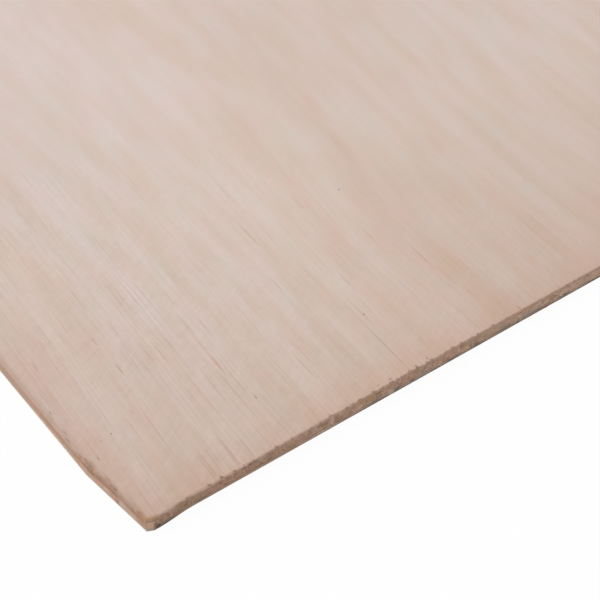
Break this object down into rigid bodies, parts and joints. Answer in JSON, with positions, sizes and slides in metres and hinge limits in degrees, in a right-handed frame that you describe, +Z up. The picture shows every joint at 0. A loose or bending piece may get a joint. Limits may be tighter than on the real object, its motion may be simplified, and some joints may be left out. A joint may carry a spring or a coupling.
{
  "type": "plywood sheet",
  "caption": "Thin hardwood plywood sheet lying flat, with one roughly sawn end and a corner where the cut ran off line and split the face veneer.",
  "frame": {"origin": "centre of the underside of the sheet's bounding box", "axes": "+X across the sheet, +Y along it and along the face grain, +Z up out of the face; the pictured corner is at -X, -Y"},
  "size_m": [0.61, 1.22, 0.0055],
  "materials": {
    "face_veneer": "unfinished pinkish-beige rotary-cut hardwood veneer, lightly sanded",
    "core_veneer": "rough-sawn brown hardwood veneer, laid crosswise",
    "back_veneer": "unfinished greyish-brown hardwood veneer"
  },
  "bodies": {
    "root": {"face_veneer": "face_veneer", "core_veneer": "core_veneer", "back_veneer": "back_veneer"}
  },
  "joints": []
}
